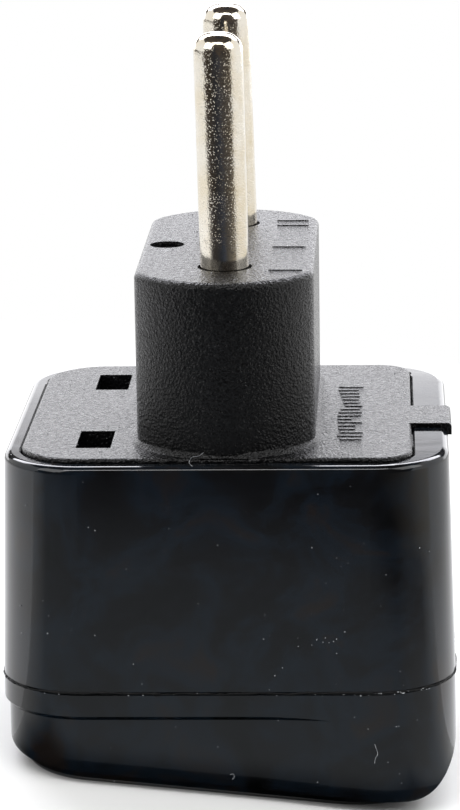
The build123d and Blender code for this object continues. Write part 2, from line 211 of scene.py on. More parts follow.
def thread(knots, radius, rows=40, columns=6):
    """Thin round thread through a few knots, as points and faces.

    The knots are joined by cubic Hermite curves whose slopes are half the span between their neighbours, and
    a circle is carried along the path, square to it, and closed with a pole at each end.
    """
    knots = np.asarray(knots, float)
    slopes = np.gradient(knots, axis=0)
    along = np.linspace(0, len(knots) - 1, rows)
    first = np.minimum(along.astype(int), len(knots) - 2)
    t = (along - first)[:, None]
    path = (
        (2 * t**3 - 3 * t**2 + 1) * knots[first] + (t**3 - 2 * t**2 + t) * slopes[first]
        + (3 * t**2 - 2 * t**3) * knots[first + 1] + (t**3 - t**2) * slopes[first + 1]
    )
    ahead = np.gradient(path, axis=0)
    ahead /= np.linalg.norm(ahead, axis=1, keepdims=True)
    side = np.cross(ahead, (0.31, 0.22, 0.92))
    side /= np.linalg.norm(side, axis=1, keepdims=True)
    up = np.cross(ahead, side)
    angle = np.linspace(0, TAU, columns, endpoint=False)[None, :, None]
    ring = path[:, None] + radius * (side[:, None] * np.cos(angle) + up[:, None] * np.sin(angle))
    return np.concatenate([ring.reshape(-1, 3), path[:1], path[-1:]]), closed_faces(rows, columns)


def smooth_noise(count, reach, rng):
    """Random values round a loop, averaged over a bell-shaped window and scaled to a spread of one."""
    padded = np.pad(rng.normal(size=count), reach, mode="wrap")
    values = np.convolve(padded, np.hanning(reach + 2)[1:-1], "same")[reach:-reach]
    return (values - values.mean()) / values.std()


def sharpen(piece, angle=40):
    """Marks edges that turn more than the angle, so that smooth shading keeps the turned shoulders."""
    piece.data.set_sharp_from_angle(angle=radians(angle))


# Shared material tools

def add(tree, kind, sockets=None, links=None, stops=None, **settings):
    """Adds a node with its properties, its input values, its links and its ramp's stops."""
    made = tree.nodes.new(kind)
    for name, value in settings.items():
        setattr(made, name, value)
    for key, value in (sockets or {}).items():
        made.inputs[key].default_value = value
    for key, source in (links or {}).items():
        tree.links.new(source, made.inputs[key])
    if stops:
        elements = made.color_ramp.elements
        while len(elements) < len(stops):
            elements.new(1.0)
        for element, (place, colour) in zip(elements, stops):
            element.position = place
            element.color = colour
    return made


def new_material(name, sockets=None):
    """Node material, its tree, its shader with some values set, and its mapped object coordinates."""
    material = bpy.data.materials.new(name)
    material.use_nodes = True
    tree = material.node_tree
    tree.nodes.clear()
    shader = add(tree, "ShaderNodeBsdfPrincipled", sockets)
    add(tree, "ShaderNodeOutputMaterial", links={"Surface": shader.outputs[0]})
    coordinates = add(tree, "ShaderNodeTexCoord")
    place = add(tree, "ShaderNodeMapping", links={"Vector": coordinates.outputs["Object"]})
    return material, tree, shader, place.outputs[0]


def wire(tree, shader, colour, rough, bump):
    """Links a colour, a roughness and a bump to the shader."""
    for name, source in (("Base Color", colour), ("Roughness", rough), ("Normal", bump)):
        tree.links.new(source.outputs[0], shader.inputs[name])


# Finishes

def polished_abs(colours):
    """Housing and cover: ABS moulded in a polished tool, then handled."""
    material, tree, shader, place = new_material("polished_moulded_abs", {"IOR": 1.5})
    # a smoky film of blue and brown, in patches of about 6 mm
    film = add(
        tree, "ShaderNodeTexNoise",
        {"Scale": 1 / (6 * MM), "Detail": 5.0, "Roughness": 0.6, "Distortion": 0.7},
        {"Vector": place},
    )
    tint = add(tree, "ShaderNodeValToRGB", links={0: film.outputs[0]}, stops=[
        (0.30, linear("#040505")), (0.44, tuple(colours.gloss)), (0.56, linear("#0b1219")),
        (0.66, linear("#15110f")), (0.78, linear("#0c0d0e")),
    ])
    # wiped haze, drawn out sideways, that dulls the gloss a little
    streak = add(
        tree, "ShaderNodeMapping", {"Scale": (0.35, 1.0, 1.0), "Rotation": (0.2, 0.5, 0.1)}, {0: place}
    )
    haze = add(
        tree, "ShaderNodeTexNoise",
        {"Scale": 1 / (3.2 * MM), "Detail": 6.0, "Roughness": 0.65, "Distortion": 1.2},
        {"Vector": streak.outputs[0]},
    )
    dull = add(
        tree, "ShaderNodeMapRange", {"From Min": 0.38, "From Max": 0.72, "To Min": 0.05, "To Max": 0.16},
        {"Value": haze.outputs[0]},
    )
    # slow sink marks and a fine orange peel, which bend the reflections
    sink = add(tree, "ShaderNodeTexNoise", {"Scale": 1 / (8 * MM), "Detail": 1.0}, {"Vector": place})
    sunk = add(tree, "ShaderNodeBump", {"Strength": 1.0, "Distance": 0.015 * MM}, {"Height": sink.outputs[0]})
    peel = add(tree, "ShaderNodeTexNoise", {"Scale": 1 / (0.4 * MM), "Detail": 2.0}, {"Vector": place})
    bump = add(
        tree, "ShaderNodeBump", {"Strength": 1.0, "Distance": 0.0012 * MM},
        {"Height": peel.outputs[0], "Normal": sunk.outputs[0]},
    )
    wire(tree, shader, tint, dull, bump)
    return material


def eroded_abs(colours):
    """Back plate: ABS moulded in a spark-eroded tool, with craters that sparkle at their rims."""
    # the craters swallow a part of what a smooth face would mirror
    material, tree, shader, place = new_material("spark_eroded_abs", {"IOR": 1.5, "Specular IOR Level": 0.3})
    # craters of about 0.24 mm, and pits of half that
    crater = add(
        tree, "ShaderNodeTexVoronoi", {"Scale": 1 / (0.24 * MM), "Smoothness": 0.3}, {"Vector": place},
        feature="SMOOTH_F1",
    )
    pit = add(
        tree, "ShaderNodeTexNoise", {"Scale": 1 / (0.12 * MM), "Detail": 1.0, "Roughness": 0.55},
        {"Vector": place},
    )
    height = add(tree, "ShaderNodeMath", links={0: crater.outputs[0], 1: pit.outputs[0]}, operation="ADD")
    bump = add(
        tree, "ShaderNodeBump", {"Strength": 1.0, "Distance": 0.07 * MM}, {"Height": height.outputs[0]}
    )
    wear = add(tree, "ShaderNodeTexNoise", {"Scale": 1 / (6 * MM), "Detail": 3.0}, {"Vector": place})
    shade = add(tree, "ShaderNodeValToRGB", links={0: wear.outputs[0]}, stops=[
        (0.3, linear("#050506")), (0.55, tuple(colours.texture)), (0.75, linear("#0a0a0c")),
    ])
    # crests rubbed brighter in specks of 0.45 mm, coarser than the real grain so that they show from afar
    rub = add(
        tree, "ShaderNodeTexNoise", {"Scale": 1 / (0.45 * MM), "Detail": 3.0, "Roughness": 0.7},
        {"Vector": place},
    )
    rough = add(
        tree, "ShaderNodeMapRange", {"From Min": 0.36, "From Max": 0.64, "To Min": 0.17, "To Max": 0.32},
        {"Value": rub.outputs[0]},
    )
    wire(tree, shader, shade, rough, bump)
    return material


def melted_abs():
    """Weld flash: ABS squeezed out of the joint and scorched, dull black with a few glints."""
    material, tree, shader, place = new_material(
        "melted_abs_flash", {"IOR": 1.5, "Specular IOR Level": 0.25}
    )
    lump = add(tree, "ShaderNodeTexNoise", {"Scale": 1 / (0.2 * MM), "Detail": 2.0}, {"Vector": place})
    tone = add(tree, "ShaderNodeValToRGB", links={0: lump.outputs[0]}, stops=[
        (0.35, linear("#020203")), (0.65, linear("#060607")),
    ])
    rough = add(
        tree, "ShaderNodeMapRange", {"From Min": 0.3, "From Max": 0.7, "To Min": 0.7, "To Max": 0.4},
        {"Value": lump.outputs[0]},
    )
    bump = add(
        tree, "ShaderNodeBump", {"Strength": 1.0, "Distance": 0.05 * MM}, {"Height": lump.outputs[0]}
    )
    wire(tree, shader, tone, rough, bump)
    return material


def tumbled_nickel(colours):
    """Pins: tumbled brass, nickel plated. Bright and finely dimpled, but smooth at root and tip."""
    material, tree, shader, place = new_material("tumbled_nickel_plate", {"Metallic": 1.0})
    coordinates = add(tree, "ShaderNodeSeparateXYZ", links={"Vector": place})
    # the dimples start above the root and end below the dome
    low = add(
        tree, "ShaderNodeMapRange", {"From Min": 0.9 * MM, "From Max": 2.4 * MM},
        {"Value": coordinates.outputs[2]},
    )
    high = add(
        tree, "ShaderNodeMapRange", {"From Min": 18.4 * MM, "From Max": 17.2 * MM},
        {"Value": coordinates.outputs[2]},
    )
    worked = add(
        tree, "ShaderNodeMath", links={0: low.outputs[0], 1: high.outputs[0]}, operation="MULTIPLY"
    )
    # dimples of 0.13 mm, and in every 0.16 mm a steep pit of 0.1 mm that glints
    grain = add(
        tree, "ShaderNodeTexNoise", {"Scale": 1 / (0.13 * MM), "Detail": 1.0, "Roughness": 0.5},
        {"Vector": place},
    )
    ding = add(tree, "ShaderNodeTexVoronoi", {"Scale": 1 / (0.16 * MM)}, {"Vector": place})
    pit = add(tree, "ShaderNodeMapRange", {"From Max": 0.3}, {"Value": ding.outputs[0]})
    fine = add(
        tree, "ShaderNodeBump", {"Distance": 0.016 * MM},
        {"Height": grain.outputs[0], "Strength": worked.outputs[0]},
    )
    bump = add(
        tree, "ShaderNodeBump", {"Distance": 0.024 * MM},
        {"Height": pit.outputs[0], "Strength": worked.outputs[0], "Normal": fine.outputs[0]},
    )
    rough = add(
        tree, "ShaderNodeMapRange", {"From Min": 0.3, "From Max": 0.7, "To Min": 0.06, "To Max": 0.15},
        {"Value": grain.outputs[0]},
    )
    # thin plating shows a little brass in patches
    patch = add(tree, "ShaderNodeTexNoise", {"Scale": 1 / (2.5 * MM), "Detail": 3.0}, {"Vector": place})
    plate = add(tree, "ShaderNodeValToRGB", links={0: patch.outputs[0]}, stops=[
        (0.35, linear("#e6dcc8")), (0.6, tuple(colours.nickel)),
    ])
    wire(tree, shader, plate, rough, bump)
    return material


def inner_finish(name, light, dark, metallic, rough, grain_size):
    """Finish of a piece inside the shells: a mottled colour with a fine grain of a size in millimetres."""
    material, tree, shader, place = new_material(name, {"Metallic": metallic})
    mottle = add(
        tree, "ShaderNodeTexNoise", {"Scale": 1 / (grain_size * 8 * MM), "Detail": 3.0}, {"Vector": place}
    )
    grain = add(
        tree, "ShaderNodeTexNoise", {"Scale": 1 / (grain_size * MM), "Detail": 2.0}, {"Vector": place}
    )
    tone = add(tree, "ShaderNodeValToRGB", links={0: mottle.outputs[0]}, stops=[
        (0.35, linear(dark)), (0.65, linear(light)),
    ])
    spread = add(
        tree, "ShaderNodeMapRange",
        {"From Min": 0.3, "From Max": 0.7, "To Min": rough * 0.8, "To Max": rough * 1.2},
        {"Value": grain.outputs[0]},
    )
    bump = add(
        tree, "ShaderNodeBump", {"Strength": 0.2, "Distance": grain_size * 0.1 * MM},
        {"Height": grain.outputs[0]},
    )
    wire(tree, shader, tone, spread, bump)
    return material


def household_lint(colours):
    """Dust, chips and lint: matt, pale and slightly uneven."""
    material, tree, shader, place = new_material("household_lint", {"Roughness": 0.9})
    tone = add(tree, "ShaderNodeTexNoise", {"Scale": 1 / (0.4 * MM), "Detail": 1.0}, {"Vector": place})
    shade = add(tree, "ShaderNodeValToRGB", links={0: tone.outputs[0]}, stops=[
        (0.3, linear("#63666b")), (0.6, tuple(colours.dust)),
    ])
    tree.links.new(shade.outputs[0], shader.inputs["Base Color"])
    return material


class ADAPTER_OT_finishes(bpy.types.Operator):
    """Gives the frame's own pieces their materials"""

    bl_idname = "adapter.finishes"
    bl_label = "Finish the moulded and inner pieces"

    def execute(self, context):
        colours = context.scene.adapter_colours
        gloss = polished_abs(colours)
        eroded = eroded_abs(colours)
        inner = inner_finish("moulded_polyester", "#a39d8c", "#8d8778", 0.0, 0.55, 0.3)
        brass = inner_finish("rolled_brass", "#d9bd76", "#c8a85e", 1.0, 0.25, 0.2)
        bronze = inner_finish("spring_bronze_strip", "#cf9a6a", "#b98252", 1.0, 0.3, 0.2)
        steel = inner_finish("zinc_plated_steel", "#c6c8cc", "#aeb1b6", 1.0, 0.35, 0.2)
        by_node = {
            "upper_housing": gloss, "socket_cover": gloss, "back_plate": eroded, "contact_carrier": inner,
        }
        for pole in ("line", "neutral"):
            by_node[f"{pole}_bus_bar"] = brass
            by_node[f"{pole}_clip_rivets"] = brass
            by_node[f"{pole}_contact_clip"] = bronze
            by_node[f"{pole}_pin_washer"] = steel
        for node, material in by_node.items():
            for slot in frame["nodes"][node].material_slots:
                slot.material = material
        return {"FINISHED"}


# Plug pin in mm: points of a ring, radii of shaft and dome, height and rows of the shaft, and the turned
# steps (r, z) in the island
PIN_COLUMNS = 96
PIN_RADIUS = 2.0
DOME_RADIUS = 1.45
SHAFT_TOP = 17.5
SHAFT_ROWS = 150
PIN_STEPS = (
    (2.1, -23.3), (1.4, -23.3), (1.4, -22.0), (2.0, -22.0), (2.0, -13.4), (3.1, -13.4), (3.1, -12.0),
    (2.2, -12.0), (2.2, -0.5), (1.7, -0.5), (1.7, 0.0), (2.0, 0.0),
)
# Dents: waves, their turns round the pin and lengths along it, and the heights where they fade in and out
DENT_WAVES = 24
DENT_TURNS = (2, 9)
DENT_LENGTHS = (0.9, 3.2)
DENT_FADES = (1.5, 5.5, 17.3, 18.8)


def arc(centre_r, centre_z, radius, start, end, steps):
    """Points of an arc in the (r, z) half plane, from one angle to another."""
    angle = np.linspace(start, end, steps)
    return np.stack([centre_r + radius * np.cos(angle), centre_z + radius * np.sin(angle)], -1)


def pin_profile():
    """Profile (r, z) of a plug pin in mm, upwards: riveted tail, turned steps, shaft, dome and crown."""
    tail = arc(1.5, -23.7, 0.6, -pi / 2, 0, 5)
    shaft = np.stack([np.full(SHAFT_ROWS, PIN_RADIUS), np.linspace(0.02, SHAFT_TOP, SHAFT_ROWS)], -1)
    dome = arc(PIN_RADIUS - DOME_RADIUS, PIN_TOP - DOME_RADIUS, DOME_RADIUS, 0, pi / 2, 16)[1:]
    crown = np.stack([np.linspace(0.5, 0.12, 4), np.full(4, PIN_TOP)], -1)
    return np.concatenate([tail, np.array(PIN_STEPS), shaft, dome, crown])


class ADAPTER_OT_pins(bpy.types.Operator):
    """Makes the two plated plug pins"""

    bl_idname = "adapter.pins"
    bl_label = "Make the pins"

    def execute(self, context):
        sizes = context.scene.adapter_sizes
        material = tumbled_nickel(context.scene.adapter_colours)
        rng = np.random.default_rng(sizes.seed)
        profile = pin_profile()
        rows, columns = len(profile), PIN_COLUMNS
        angle = np.linspace(0, TAU, columns, endpoint=False)[None, :]
        height = profile[:, 1:]
        for pole, lean, side in (("line", sizes.line_lean, 1), ("neutral", sizes.neutral_lean, -1)):
            # surface of revolution: the profile's radius with a mean of cosine waves over turn and height,
            # on an axis that leans in proportion to height above the face
            waves = np.zeros((rows, columns))
            for _ in range(DENT_WAVES):
                turns = rng.integers(*DENT_TURNS)
                length = rng.uniform(*DENT_LENGTHS)
                waves += np.cos(turns * angle + height * TAU / length + rng.uniform(0, TAU))
            worked = np.interp(height, DENT_FADES, (0, 1, 1, 0))
            radius = profile[:, :1] + waves / DENT_WAVES * worked * sizes.dent_depth / MM
            rise = np.clip(height, 0, None) / PIN_TOP
            x = radius * np.cos(angle) + lean[0] / MM * rise
            y = radius * np.sin(angle) + lean[1] / MM * rise + side * PIN_Y
            z = np.broadcast_to(height, x.shape)
            foot = (0, side * PIN_Y, profile[0, 1])
            top = (lean[0] / MM, lean[1] / MM + side * PIN_Y, PIN_TOP)
            points = np.concatenate([np.stack([x, y, z], -1).reshape(-1, 3), [foot, top]])
            faces = closed_faces(rows, columns)
            piece = new_piece(f"{pole}_plated_pin", points, faces, material)
            sharpen(piece)
            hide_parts(f"{pole}_pin")
        return {"FINISHED"}


# Raised strokes in mm: start and end on the island's face, and the column on the plate
ISLAND_STROKES = (
    ((3.59, -11.15), (6.38, -11.24)),
    ((3.65, -1.35), (6.46, -1.45)),
    ((3.75, 8.25), (6.51, 8.15)),
    ((3.68, 10.49), (6.47, 10.38)),
)
STROKE_HALF_WIDTH = 0.13
BLOCK_HALF_WIDTH = STROKE_HALF_WIDTH * 1.7
STROKE_POWER = 0.35
BLOCK_X = (8.95, 11.15)
BLOCK_Y = (-10.6, 7.9)
BLOCK_STROKES = 17


class ADAPTER_OT_strokes(bpy.types.Operator):
    """Makes the raised strokes on the island and on the plate"""

    bl_idname = "adapter.strokes"
    bl_label = "Make the raised strokes"

    def execute(self, context):
        sizes = context.scene.adapter_sizes
        rise = sizes.stroke_height / MM
        material = bpy.data.materials["spark_eroded_abs"]
        ends = np.array(ISLAND_STROKES)
        run = ends[:, 1] - ends[:, 0]
        length = np.hypot(run[:, 0], run[:, 1])
        centres = np.concatenate([ends.mean(1), np.zeros((len(ends), 1))], 1)
        halves = np.stack([length / 2, np.full(len(ends), STROKE_HALF_WIDTH), np.full(len(ends), rise)], 1)
        points, faces = pillows(centres, halves, np.arctan2(run[:, 1], run[:, 0]), STROKE_POWER)
        new_piece("island_strokes", points, faces, material)
        # a column of plain strokes of uneven length on the plate
        rng = np.random.default_rng(sizes.seed)
        y = np.linspace(*BLOCK_Y, BLOCK_STROKES)
        reach = (BLOCK_X[1] - BLOCK_X[0]) / 2
        half = reach * rng.uniform(0.55, 1.0, BLOCK_STROKES)
        x = np.mean(BLOCK_X) + (reach - half) * rng.uniform(-1, 1, BLOCK_STROKES)
        centres = np.stack([x, y, np.full(BLOCK_STROKES, PLATE_Z)], 1)
        across, up = np.full(BLOCK_STROKES, BLOCK_HALF_WIDTH), np.full(BLOCK_STROKES, rise)
        halves = np.stack([half, across, up], 1)
        points, faces = pillows(centres, halves, rng.uniform(-0.06, 0.06, BLOCK_STROKES), STROKE_POWER)
        new_piece("plate_strokes", points, faces, material)
        return {"FINISHED"}


# Weld seam

def seam_path(count):
    """Places evenly spaced round the seam, a square with round corners, and the way out at each."""
    quarter = np.linspace(0, pi / 2, 25)
    angle = np.concatenate([quarter + side * pi / 2 for side in range(4)])
    centre = np.repeat([(1, 1), (-1, 1), (-1, -1), (1, -1)], len(quarter), axis=0) * (SEAM_HALF - SEAM_CORNER)
    outward = np.stack([np.cos(angle), np.sin(angle)], -1)
    ring = centre + SEAM_CORNER * outward
    ring, outward = np.concatenate([ring, ring[:1]]), np.concatenate([outward, outward[:1]])
    step = np.concatenate([[0], np.cumsum(np.linalg.norm(np.diff(ring, axis=0), axis=1))])
    at = np.linspace(0, step[-1], count, endpoint=False)
    place = np.stack([np.interp(at, step, ring[:, axis]) for axis in (0, 1)], -1)
    way = np.stack([np.interp(at, step, outward[:, axis]) for axis in (0, 1)], -1)
    return place, way / np.linalg.norm(way, axis=1, keepdims=True)


# Weld flash: rings along the seam and points of each, the share by which its radius wanders over how many
# rings, its limits, how far it sinks in and rises in mm, the burr's place and size, and the flecks
FLASH_ROWS = 1500
FLASH_COLUMNS = 10
FLASH_WANDER = ((0.22, 6), (0.2, 40))
FLASH_LIMITS = (0.55, 1.7)
FLASH_SINK = 0.04
FLASH_RISE = 0.035
BURR_PLACE = (18.75, -10.5)
BURR_LENGTH = 1.6
BURR_HEIGHT = 0.62
FLECK_RANGE = (9.5, 16.5)
CORNER_FLECKS = 26
OTHER_FLECKS = 40
FLECK_OUT = 0.06
FLECK_HEIGHTS = (-0.16, 0.06)
FLECK_SIZES = (0.02, 0.05)


class ADAPTER_OT_weld(bpy.types.Operator):
    """Makes the flash that the weld squeezed out, with its burr and pale flecks"""

    bl_idname = "adapter.weld"
    bl_label = "Make the weld flash"

    def execute(self, context):
        sizes = context.scene.adapter_sizes
        rng = np.random.default_rng(sizes.seed + 1)
        rows, columns = FLASH_ROWS, FLASH_COLUMNS
        place, way = seam_path(rows)
        # bead along the seam: a circle whose radius and height wander, raised and ragged at the burr
        base = sizes.flash_radius / MM
        wander = 1 + sum(share * smooth_noise(rows, reach, rng) for share, reach in FLASH_WANDER)
        radius = base * np.clip(wander, *FLASH_LIMITS)
        lift = FLASH_RISE * smooth_noise(rows, 30, rng)
        near = np.exp(-((np.linalg.norm(place - BURR_PLACE, axis=1) / BURR_LENGTH) ** 2))
        burr = BURR_HEIGHT * near * np.clip(0.7 + 0.4 * smooth_noise(rows, 9, rng), 0.1, 1.5)
        angle = np.linspace(0, TAU, columns, endpoint=False)[None, :]
        out = radius[:, None] * np.cos(angle) - FLASH_SINK
        up = radius[:, None] * np.sin(angle) * (1 + burr[:, None] / base * (np.sin(angle) > 0))
        x = place[:, :1] + way[:, :1] * out
        y = place[:, 1:] + way[:, 1:] * out
        z = SEAM_Z + lift[:, None] + up
        faces = [face[::-1] for face in grid_faces(rows, columns, loop=True)]
        points = np.stack([x, y, z], -1)
        piece = new_piece("weld_flash", points, faces, melted_abs())
        sharpen(piece, 60)
        # pale flecks along the flash, most of them near the front right corner
        x, y = place[:, 0], place[:, 1]
        front = np.flatnonzero((y < 0) & (x > FLECK_RANGE[0]) & (x < FLECK_RANGE[1]))
        picks = np.concatenate([rng.choice(front, CORNER_FLECKS), rng.integers(0, rows, OTHER_FLECKS)])
        count = len(picks)
        centres = np.concatenate([place[picks] + way[picks] * FLECK_OUT, np.full((count, 1), SEAM_Z)], 1)
        centres[:, 2] += rng.uniform(*FLECK_HEIGHTS, count)
        size = rng.uniform(*FLECK_SIZES, count) * np.where(np.arange(count) < CORNER_FLECKS, 1.1, 0.8)
        halves = np.stack([size * rng.uniform(1, 2.6, count), size, size], 1)
        turns = np.arctan2(way[picks, 1], way[picks, 0]) + pi / 2
        points, faces = pillows(centres, halves, turns, 0.8, 4, 6)
        new_piece("weld_flecks", points, faces, household_lint(context.scene.adapter_colours))
        return {"FINISHED"}


# Dust and fibres

# Where dust falls, in mm: half widths of the front and the other walls, depth below the seam, and the range
# of the plate. Then half widths of the island's top and of the strip beside it, which dust keeps off
FRONT_REACH = 17
WALL_REACH = 11
FRONT_DROP = 8
PLATE_X = (-15.5, 14.5)
PLATE_Y = (-15.5, 15.5)
ISLAND_FLAT = 6.6
ISLAND_STRIP = 8.2


def wall_half(x, z):
    """Half depth of the body in mm at a place and height on its front: housing, seam ledge or grip."""
    housing = SEAM_HALF - (SEAM_HALF - RIM_HALF) * (z - SEAM_Z) / (RIM_Z - SEAM_Z)
    run = np.clip(x - GRIP_START, 0, 20)
    grip = SEAM_HALF - GRIP_INSET + GRIP_RADIUS - np.sqrt(GRIP_RADIUS**2 - run**2)
    half = np.where(z > SEAM_Z, housing, np.where(z > LEDGE_Z, SEAM_HALF, np.minimum(grip, SEAM_HALF)))
    centre = SEAM_HALF - SEAM_CORNER
    turn = np.clip(np.abs(x) - centre, 0, SEAM_CORNER)
    return half - SEAM_CORNER + np.sqrt(SEAM_CORNER**2 - turn**2)


# Fibres as knots (x, y, z) in mm, where a y of None lies on the front wall, and the specks (x, z) that
# have a place of their own there
FIBRES = (
    ((-2.45, -18.0, -14.6), (-2.75, -17.1, -14.5), (-2.5, -16.65, -14.18), (-1.95, -16.55, -14.1),
     (-1.6, -16.66, -13.8)),
    ((12.03, None, -37.80), (12.14, None, -38.13), (12.27, None, -38.64), (12.10, None, -39.0),
     (12.0, None, -39.46)),
    ((0.2, None, -40.55), (0.45, None, -40.5), (0.55, None, -40.75), (0.38, None, -40.95)),
)
FIBRE_RADIUS = 0.021
FIBRE_LIFT = 0.02
SPECK_SIZE = 0.042
SPECK_SIZES = (0.02, 0.055)
FRONT_SPECKS = (
    (3.1, -28.9), (9.0, -30.1), (4.6, -31.3), (5.9, -29.5), (10.4, -35.5), (11.5, -36.5), (13.8, -36.4),
    (14.0, -36.4), (15.5, -36.1), (13.1, -39.4), (14.2, -41.3), (7.4, -28.95), (7.9, -29.15), (8.1, -28.8),
    (8.4, -29.2), (8.75, -29.1), (9.0, -28.9), (7.0, -29.4),
)


class ADAPTER_OT_lint(bpy.types.Operator):
    """Scatters the dust specks and lays the fibres"""

    bl_idname = "adapter.lint"
    bl_label = "Scatter dust and lint"

    def execute(self, context):
        sizes = context.scene.adapter_sizes
        material = bpy.data.materials["household_lint"]
        rng = np.random.default_rng(sizes.seed + 2)
        count = sizes.speck_count
        third = count // 3
        # a third each on the front, on the other walls and on the plate and island
        x = rng.uniform(-FRONT_REACH, FRONT_REACH, third)
        z = rng.uniform(SEAM_Z - FRONT_DROP, RIM_Z - 1, third)
        named = np.array(FRONT_SPECKS)
        x, z = np.concatenate([named[:, 0], x]), np.concatenate([named[:, 1], z])
        front = np.stack([x, -wall_half(x, z), z], 1)
        x = rng.uniform(-WALL_REACH, WALL_REACH, third)
        z = rng.uniform(SEAM_Z + 0.5, RIM_Z - 1, third)
        turn = rng.integers(1, 4, third) * pi / 2
        y = -wall_half(x, z)
        walls = np.stack([x * np.cos(turn) - y * np.sin(turn), x * np.sin(turn) + y * np.cos(turn), z], 1)
        x, y = rng.uniform(*PLATE_X, third), rng.uniform(*PLATE_Y, third)
        over = np.abs(y) - ISLAND_CENTRE
        on_island = (np.abs(x) < ISLAND_FLAT) & (np.hypot(x, np.clip(over, 0, None)) < ISLAND_END - 0.7)
        beside = (np.abs(x) < ISLAND_STRIP) & ~on_island
        x = np.where(beside, np.sign(x) * (ISLAND_STRIP + 0.4 + 0.3 * np.abs(x)), x)
        tops = np.stack([x, y, np.where(on_island, 0.0, PLATE_Z)], 1)
        centres = np.concatenate([front, walls, tops])
        small, large = SPECK_SIZES
        size = small + (large - small) * rng.uniform(0, 1, len(centres)) ** 2
        size[: len(named)] = SPECK_SIZE
        halves = size[:, None] * rng.uniform(0.7, 1.5, (len(centres), 3))
        points, faces = pillows(centres, halves, rng.uniform(0, pi, len(centres)), 1.0, 4, 6)
        new_piece("dust_specks", points, faces, material)
        for number, knots in enumerate(FIBRES):
            laid = [
                (x, -float(wall_half(np.array(x), np.array(z))) - FIBRE_LIFT if y is None else y, z)
                for x, y, z in knots
            ]
            points, faces = thread(laid, FIBRE_RADIUS)
            new_piece(f"fibre_{number + 1}", points, faces, material)
        return {"FINISHED"}


# Camera fitted to the photograph, in the frame's millimetres: its axes are the matrix columns
CAMERA_PLACE = (13.106, -288.699, 56.223)
CAMERA_AXES = (
    (0.998991, 0.00473, 0.044659),
    (0.042278, 0.23631, -0.970758),
    (-0.015145, 0.971666, 0.235871),
)
FOCAL_PIXELS = 3497.2
PHOTO_HEIGHT = 810
SENSOR = 36.0

# Softboxes in mm: place, width, height, power in watts, colour
SOFTBOXES = {
    "rear_softbox": ((0, 430, 30), 900, 142, 0.66, "#fafaff"),
    "high_softbox": ((0, 357, 306), 700, 190, 3.9, "#f8f8ff"),
    "front_softbox": ((0, -230, 425), 360, 60, 0.65, "#ffffff"),
    "left_softbox": ((-230, -190, 250), 250, 250, 0.5, "#ffffff"),
    "right_softbox": ((290, -130, 250), 250, 250, 0.5, "#ffffff"),
}
AIM = (0, 0, -15)

# Floor in mm: first ring, growth from ring to ring, gap under the face, and where plain white takes over
FLOOR_FIRST = 20.0
FLOOR_GROWTH = 1.5
FLOOR_GAP = 0.01
FLOOR_FADE = (60, 160)
# Strength of the world where it only lights. Where it is seen, it is 1
LIT_STRENGTH = 0.42

# Flags of painted reflection: glowing sheets that only reflections see.
# Angles are from the lens side, positive to the right, lengths in mm.
# The table: its left and right ends, the outer ends of its far part, its near edge in the middle and at the
# sides, its far edge, its height over the floor, and from where to where the tones of the near part, the
# body's painted shade and the step to the far tones run
FLAG_LEFT = radians(-66)
FLAG_RIGHT = radians(89)
FLAG_SIDE = radians(135)
FLAG_NEAR = 10
FLAG_EDGE = 355.0
FLAG_REACH = 640.0
FLAG_LIFT = 0.3
TONE_REACH = (20, 240)
SHADE_REACH = (20, 29)
FAR_STEP = (180, 190)
# The dome: its radius, the half width of its front, and the elevations of its lower edge and its top
TENT_RADIUS = 620.0
TENT_OPEN = radians(66)
TENT_HIGH = radians(48)
TENT_LOW = radians(13)
TENT_FRONT_LOW = radians(-7)
TENT_TOP = radians(89)


def softbox(name, place, width, height, power, colour):
    """Rectangular area light at a place in mm, turned to the object."""
    lamp = bpy.data.lights.new(name, "AREA")
    lamp.shape = "RECTANGLE"
    lamp.size, lamp.size_y = width * MM, height * MM
    lamp.energy = power
    lamp.color = linear(colour)[:3]
    holder = bpy.data.objects.new(name, lamp)
    holder.location = Vector(place) * MM
    holder.rotation_euler = (Vector(AIM) - Vector(place)).to_track_quat("-Z", "Y").to_euler()
    bpy.context.scene.collection.objects.link(holder)


def seen_share(tree):
    """One where the camera, gloss or glass looks, and nought where light is gathered."""
    path = add(tree, "ShaderNodeLightPath")
    seen = add(
        tree, "ShaderNodeMath", links={0: path.outputs["Is Camera Ray"], 1: path.outputs["Is Glossy Ray"]},
        operation="MAXIMUM",
    )
    return add(
        tree, "ShaderNodeMath", links={0: seen.outputs[0], 1: path.outputs["Is Transmission Ray"]},
        operation="MAXIMUM",
    ).outputs[0]


def floor_height(x):
    """Height in mm of the floor, which the tilted socket face lies on, at a place along X."""
    return FLOOR_POINT.z / MM - FLOOR_NORMAL.x / FLOOR_NORMAL.z * (x - FLOOR_POINT.x / MM)


